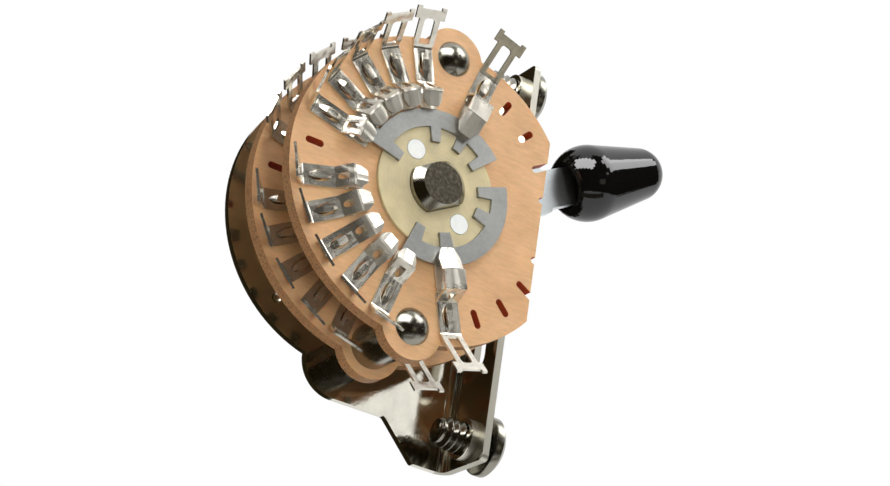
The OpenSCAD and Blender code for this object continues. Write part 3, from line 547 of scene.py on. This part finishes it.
def cross_recess(shape, low, high, centre, width):
    """Two crossed wedges that cut the recess."""
    reach, wide = RECESS_REACH * (high.x - low.x) / 2, width / 2
    foot, foot_wide = reach * RECESS_TAPER[0], wide * RECESS_TAPER[1]
    top, bottom = high.z + 0.3 * MM, high.z - RECESS_DEPTH
    corners = [(-reach, -wide, top), (reach, -wide, top), (reach, wide, top), (-reach, wide, top),
               (-foot, -foot_wide, bottom), (foot, -foot_wide, bottom),
               (foot, foot_wide, bottom), (-foot, foot_wide, bottom)]
    for turn in (45.0, 135.0):
        spin = Matrix.Rotation(math.radians(turn), 4, "Z")
        verts = [shape.verts.new(spin @ Vector((x, y, 0.0)) + Vector((centre.x, centre.y, z)))
                 for x, y, z in corners]
        for face in ((0, 1, 2, 3), (4, 7, 6, 5), (0, 4, 5, 1), (1, 5, 6, 2), (2, 6, 7, 3),
                     (3, 7, 4, 0)):
            shape.faces.new([verts[i] for i in face])


def screw_thread(shape, low, high, centre, pitch, depth):
    """A rolled thread with a tapered point, and the core inside it."""
    head_z, end = high.z - HEAD_H, low.z
    turns = (head_z - 0.25 * MM - end) / pitch
    rows = []
    for k in range(int(turns * THREAD_STEPS) + 1):
        t = 2 * math.pi * k / THREAD_STEPS
        row = []
        for along, height in THREAD_FORM:
            z = end + pitch * (k / THREAD_STEPS + along - 1.0)
            point = 1.0 - max(0.0, min(1.0, (z - end) / POINT_L))
            r = SHANK_R - depth * (1.0 - height) - POINT_DROP * point * (0.4 + 0.6 * height)
            z = min(max(z, end), head_z + 0.05 * MM)
            row.append(shape.verts.new(centre + Vector((r * math.cos(t), -r * math.sin(t), z))))
        rows.append(row)
    for a, b in zip(rows, rows[1:]):
        for i in range(len(THREAD_FORM) - 1):
            shape.faces.new((a[i], a[i + 1], b[i + 1], b[i]))
    # The crest of each turn joins the next turn
    for a, b, c, d in zip(rows, rows[1:], rows[THREAD_STEPS:], rows[THREAD_STEPS + 1:]):
        shape.faces.new((a[-1], c[0], d[0], b[-1]))
    core = SHANK_R - depth - 0.02 * MM
    lathe(shape, [(0.0, end), (SHANK_R - 0.6 * MM, end), (SHANK_R - 0.55 * MM, end + 0.3 * MM),
                  (core, end + 0.9 * MM), (core, head_z)], THREAD_STEPS, centre)


def build_screw(name, finish, sizes):
    """A pan-head screw with a cross recess and a rolled thread, in place of its plain solid."""
    low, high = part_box(name)
    centre = Vector(((low.x + high.x) / 2, (low.y + high.y) / 2, 0.0))
    head = mesh_object(name + "_head", lambda shape: screw_head(shape, low, high, centre), finish,
                       "base")
    head.data.validate()
    cutter = mesh_object(name + "_recess", lambda shape: cross_recess(
        shape, low, high, centre, sizes.cross_width), finish, "base")
    cut = head.modifiers.new("recess", "BOOLEAN")
    cut.operation = "DIFFERENCE"
    cut.solver = "EXACT"
    cut.use_self = True
    cut.object = cutter
    drawn = head.evaluated_get(bpy.context.evaluated_depsgraph_get())
    result = bpy.data.meshes.new_from_object(drawn)
    head.modifiers.clear()
    head.data = result
    bpy.data.objects.remove(cutter)
    soften(head, sizes.head_edge, 40.0)
    mesh_object(name + "_thread", lambda shape: screw_thread(
        shape, low, high, centre, sizes.thread_pitch, sizes.thread_depth), finish,
        "base", (name,))


# Stage

def facing(place, distance):
    """Where a panel stands that faces the switch; place is in the camera's right, up and back."""
    away = (place[0] * RIGHT + place[1] * UP + place[2] * BACK).normalized()
    across = UP.cross(away).normalized()
    turn = Matrix((across, away.cross(across), away)).transposed().to_4x4()
    return Matrix.Translation(away * distance) @ turn


def add_camera(lens):
    """The photograph's camera, fitted to the picture."""
    camera = bpy.data.objects.new("camera", bpy.data.cameras.new("camera"))
    bpy.context.scene.collection.objects.link(camera)
    camera.data.sensor_width = 36.0
    camera.data.lens = lens
    camera.data.clip_start, camera.data.clip_end = 0.01, 10.0
    back = BACK.normalized()
    right = (RIGHT - back * RIGHT.dot(back)).normalized()
    turn = Matrix((right, back.cross(right), back)).transposed().to_4x4()
    camera.matrix_world = Matrix.Translation(CAMERA_PLACE) @ turn
    bpy.context.scene.camera = camera


def add_floor(height, colour):
    """The plain floor, which mirrors don't show."""
    mesh = bpy.data.meshes.new("floor")
    half = FLOOR_HALF
    mesh.from_pydata([(-half, -half, 0), (half, -half, 0), (half, half, 0), (-half, half, 0)], [],
                     [(0, 1, 2, 3)])
    floor = bpy.data.objects.new("floor", mesh)
    floor.location.z = height
    bpy.context.scene.collection.objects.link(floor)
    floor.data.materials.append(pale_floor(colour))
    floor.visible_glossy = False


def add_surroundings(light):
    """White to the camera, in mirrors and through clear pieces, and a weaker light elsewhere."""
    world = bpy.data.worlds.new("white_surroundings")
    bpy.context.scene.world = world
    world.use_nodes = True
    tree = world.node_tree
    rays = add_node(tree, "LightPath").node.outputs
    mirrored = add_node(tree, "Math", {0: rays["Is Camera Ray"], 1: rays["Is Glossy Ray"]},
                        operation="MAXIMUM")
    seen = add_node(tree, "Math", {0: mirrored, 1: rays["Is Transmission Ray"]},
                    operation="MAXIMUM")
    sky = tree.nodes["Background"].inputs
    sky["Color"].default_value = (1.0, 1.0, 1.0, 1.0)
    tree.links.new(add_node(tree, "MapRange", {"Value": seen, "To Min": light}), sky["Strength"])


def add_lamp(name, place, distance, size, power, mirrored):
    """A softbox that faces the switch."""
    lamp = bpy.data.objects.new(name, bpy.data.lights.new(name, "AREA"))
    lamp.data.shape = "RECTANGLE"
    lamp.data.size, lamp.data.size_y = size
    lamp.data.energy = power
    lamp.matrix_world = facing(place, distance)
    lamp.visible_glossy = mirrored
    bpy.context.scene.collection.objects.link(lamp)


def add_cloth(name, mesh, finish):
    """Puts a cloth in the scene where nothing but reflections shows it."""
    mesh.materials.append(finish)
    cloth = bpy.data.objects.new(name, mesh)
    bpy.context.scene.collection.objects.link(cloth)
    cloth.visible_camera = cloth.visible_diffuse = False
    cloth.visible_shadow = cloth.visible_transmission = False
    return cloth


def in_tent(normal):
    """Whether the tent hangs in a direction: in front, at the right and far round the left."""
    right, up, back = (normal.dot(axis) for axis in (RIGHT, UP, BACK))
    in_front = back > -0.1 and -0.42 < up < 0.97
    at_right = right > 0.3 and back > -0.4 and -0.35 < up < 0.62
    at_left = back > -0.92 and right < -0.2 and up < 0.8
    return in_front or at_right or at_left


def studio_cloths():
    """A dark tent on the camera's side, open below, with lit cloths in it."""
    mesh = bpy.data.meshes.new("dark_tent")
    shape = bmesh.new()
    bmesh.ops.create_icosphere(shape, subdivisions=5, radius=TENT_RADIUS)
    gone = [face for face in shape.faces if not in_tent(face.normal)]
    bmesh.ops.delete(shape, geom=gone, context="FACES")
    shape.to_mesh(mesh)
    shape.free()
    add_cloth("dark_tent", mesh, studio_cloth("dark_studio_cloth", "#2B2416", 1.0))
    for name, place, (width, height), code, strength in CLOTHS:
        mesh = bpy.data.meshes.new(name)
        w, h = width / 2, height / 2
        mesh.from_pydata([(-w, -h, 0), (w, -h, 0), (w, h, 0), (-w, h, 0)], [], [(0, 1, 2, 3)])
        cloth = add_cloth(name, mesh, studio_cloth(name + "_cloth", code, strength))
        cloth.matrix_world = facing(place, CLOTH_DISTANCE)


# Settings

class SwitchColours(bpy.types.PropertyGroup):
    """Colours of the switch's finishes"""

    plated_steel: hex_colour("Frame", "Bright plating of the frame", "#D6D3C6")
    laminate: hex_colour("Wafer face", "Faces of the laminate wafers", "#DDB081")
    laminate_edge: hex_colour("Wafer edge", "Punched edges of the wafers", "#BC8A5C")
    # The slots' walls get a painted red-brown shade, darker and redder than the laminate's edge
    painted_slot_shade: hex_colour("Slot walls", "Resin-rich walls of the wafers' slots", "#B0441E")
    rotor: hex_colour("Rotor", "Ivory mouldings of the rotors", "#CFC199")
    pins: hex_colour("Pins", "White rotor pins", "#EFEEEB")
    contact: hex_colour("Contact plates", "Silvered plates of the rotors", "#B4B5B2")
    tin: hex_colour("Terminals", "Tinned terminals", "#E6E1D4")
    # The strip edges' colour is a painted highlight, near white
    strip_edge: hex_colour("Strip edges", "Burnished edges of the strip", "#FBF8F0")
    nickel: hex_colour("Rivets and screws", "Nickel plating", "#9A978C")
    zinc: hex_colour("Lever", "Zinc plating of the lever", "#DCE2E4")
    bar: hex_colour("Shaft", "Drawn flats of the shaft", "#A09C90")
    sheared: hex_colour("Shaft end", "Sheared end of the shaft", "#5E584C")
    spring: hex_colour("Springs", "Oiled spring steel", "#6E6E6C")
    tip: hex_colour("Lever tip", "Black moulding of the lever tip", "#0C0C0C")


class SwitchSizes(bpy.types.PropertyGroup):
    """Sizes of the visible details"""

    thread_pitch: length("Thread pitch", "Pitch of the mounting screws' thread", 0.79)
    thread_depth: length("Thread depth", "Depth of the thread's grooves", 0.45)
    cross_width: length("Cross width", "Width of the recess's wings", 0.95)
    head_edge: length("Screw head edge", "Rounding of the screws' heads", 0.07)
    sheet_edge: length("Sheet edge", "Rounding of the frame's edges", 0.08)
    strip_edge: length("Strip edge", "Rounding of the plates' and terminals' edges", 0.055)
    wafer_edge: length("Wafer edge", "Rounding of the wafers' edges", 0.04)
    rivet_edge: length("Rivet edge", "Rounding of the rivets and springs", 0.04)
    spacer_edge: length("Spacer edge", "Rounding of the spacers, the pins and the tip", 0.08)
    rotor_edge: length("Rotor edge", "Rounding of the rotors and of the detent's sheet", 0.05)
    lever_edge: length("Lever edge", "Rounding of the shaft and of the lever", 0.06)


class StageSettings(bpy.types.PropertyGroup):
    """Camera, floor and lamps"""

    lens: bpy.props.FloatProperty(
        name="Lens", description="Focal length on a 36 mm sensor", default=87.5)
    floor_height: length("Floor", "Height of the floor, from the mounting face", -170.0)
    key_power: bpy.props.FloatProperty(
        name="Key lamp", description="Power of the key softbox", unit="POWER", default=6.0)
    fill_power: bpy.props.FloatProperty(
        name="Right lamp", description="Power of the right softbox", unit="POWER", default=1.7)
    front_power: bpy.props.FloatProperty(
        name="Front lamp", description="Power of the fill beside the camera", unit="POWER",
        default=21.0)
    world_light: bpy.props.FloatProperty(
        name="World", description="Strength of the surrounding light", default=0.3)
    floor_colour: hex_colour("Floor", "Pale floor", "#F4F3F1")


# Pieces

class SWITCH_OT_frame(bpy.types.Operator):
    """Plates the bent frame"""

    bl_idname = "selector.frame"
    bl_label = "Frame"

    def execute(self, context):
        colours, sizes = context.scene.switch_colours, context.scene.switch_sizes
        dress(["frame"], bright_plated_sheet(colours), sizes.sheet_edge)
        return {"FINISHED"}


class SWITCH_OT_wafers(bpy.types.Operator):
    """Gives the wafers their laminate"""

    bl_idname = "selector.wafers"
    bl_label = "Wafers"

    def execute(self, context):
        colours, sizes = context.scene.switch_colours, context.scene.switch_sizes
        dress(["front_wafer", "rear_wafer"], paper_phenolic(colours), sizes.wafer_edge)
        return {"FINISHED"}


class SWITCH_OT_stack(bpy.types.Operator):
    """Plates the tie rivets and the spacers"""

    bl_idname = "selector.stack"
    bl_label = "Rivets and spacers"

    def execute(self, context):
        colours, sizes = context.scene.switch_colours, context.scene.switch_sizes
        nickel = polished_nickel(colours)
        dress(RIVETS, nickel, sizes.rivet_edge)
        dress(SPACERS, nickel, sizes.spacer_edge)
        return {"FINISHED"}


class SWITCH_OT_rotors(bpy.types.Operator):
    """Finishes the rotors, their pins and their contact plates"""

    bl_idname = "selector.rotors"
    bl_label = "Rotors"

    def execute(self, context):
        colours, sizes = context.scene.switch_colours, context.scene.switch_sizes
        dress(["front_rotor", "front_rotor_back", "rear_rotor", "rear_rotor_back"],
              moulded_acetal(colours), sizes.rotor_edge)
        dress(["front_rotor_pins", "rear_rotor_pins"], white_moulding(colours), sizes.spacer_edge)
        # The plates' bevelled edges carry a painted highlight
        dress(PLATES, silvered_strip(colours), sizes.strip_edge, painted_edge_highlight(colours))
        return {"FINISHED"}


class SWITCH_OT_terminals(bpy.types.Operator):
    """Tins the terminals"""

    bl_idname = "selector.terminals"
    bl_label = "Terminals"

    def execute(self, context):
        colours, sizes = context.scene.switch_colours, context.scene.switch_sizes
        # The terminals' bevelled edges carry a painted highlight
        dress(TERMINALS, tinned_strip(colours), sizes.strip_edge, painted_edge_highlight(colours))
        return {"FINISHED"}


class SWITCH_OT_lever(bpy.types.Operator):
    """Finishes the shaft, the lever and its tip"""

    bl_idname = "selector.lever"
    bl_label = "Shaft and lever"

    def execute(self, context):
        colours, sizes = context.scene.switch_colours, context.scene.switch_sizes
        dress(["shaft"], sheared_bar(colours), sizes.lever_edge)
        dress(["lever_blade"], zinc_plated(colours), sizes.lever_edge)
        dress(["lever_tip"], black_moulding(colours), sizes.spacer_edge)
        return {"FINISHED"}


class SWITCH_OT_detent(bpy.types.Operator):
    """Finishes the detent and the shaft's washer and ring"""

    bl_idname = "selector.detent"
    bl_label = "Detent"

    def execute(self, context):
        colours, sizes = context.scene.switch_colours, context.scene.switch_sizes
        dress(["ball_carrier", "hub_spacer", "shaft_washer"], zinc_plated(colours),
              sizes.rotor_edge)
        dress(["detent_spring", "retaining_ring"], dark_steel(colours), sizes.rivet_edge)
        dress(["detent_balls"], polished_nickel(colours))
        return {"FINISHED"}


class SWITCH_OT_screws(bpy.types.Operator):
    """Builds the mounting screws with their threads and cross recesses"""

    bl_idname = "selector.screws"
    bl_label = "Mounting screws"

    def execute(self, context):
        colours, sizes = context.scene.switch_colours, context.scene.switch_sizes
        nickel = polished_nickel(colours)
        for name in ("upper_mounting_screw", "lower_mounting_screw"):
            build_screw(name, nickel, sizes)
        return {"FINISHED"}


class SWITCH_OT_stage(bpy.types.Operator):
    """Sets the camera, the floor, the lamps and the white surroundings"""

    bl_idname = "selector.stage"
    bl_label = "Stage"

    def execute(self, context):
        stage = context.scene.switch_stage
        context.scene.view_settings.view_transform = "Standard"
        add_camera(stage.lens)
        add_floor(stage.floor_height, stage.floor_colour)
        add_surroundings(stage.world_light)
        for name, place, distance, size, power, mirrored in LAMPS:
            add_lamp(name, place, distance, size, getattr(stage, power), mirrored)
        studio_cloths()
        return {"FINISHED"}


class SWITCH_PT_panel(bpy.types.Panel):
    """Lists the switch's pieces and settings"""

    bl_idname = "SWITCH_PT_panel"
    bl_label = "Selector switch"
    bl_space_type = "VIEW_3D"
    bl_region_type = "UI"
    bl_category = "Selector Switch"

    def draw(self, context):
        column = self.layout.column()
        for operator in OPERATORS:
            column.operator(operator.bl_idname)
        for group in (getattr(context.scene, name) for name in GROUPS):
            box = self.layout.box()
            for name in group.bl_rna.properties.keys():
                if name not in ("rna_type", "name"):
                    box.prop(group, name)


OPERATORS = (SWITCH_OT_stage, SWITCH_OT_frame, SWITCH_OT_wafers, SWITCH_OT_stack,
             SWITCH_OT_rotors, SWITCH_OT_terminals, SWITCH_OT_lever, SWITCH_OT_detent,
             SWITCH_OT_screws)
GROUPS = {"switch_colours": SwitchColours, "switch_sizes": SwitchSizes,
          "switch_stage": StageSettings}


def register():
    for name, group in GROUPS.items():
        bpy.utils.register_class(group)
        setattr(bpy.types.Scene, name, bpy.props.PointerProperty(type=group))
    for cls in OPERATORS + (SWITCH_PT_panel,):
        bpy.utils.register_class(cls)


def unregister():
    for cls in reversed(OPERATORS + (SWITCH_PT_panel,)):
        bpy.utils.unregister_class(cls)
    for name, group in GROUPS.items():
        delattr(bpy.types.Scene, name)
        bpy.utils.unregister_class(group)


def main():
    register()
    for operator in OPERATORS:
        getattr(bpy.ops.selector, operator.bl_idname.split(".")[1])()


if __name__ == "__main__":
    main()
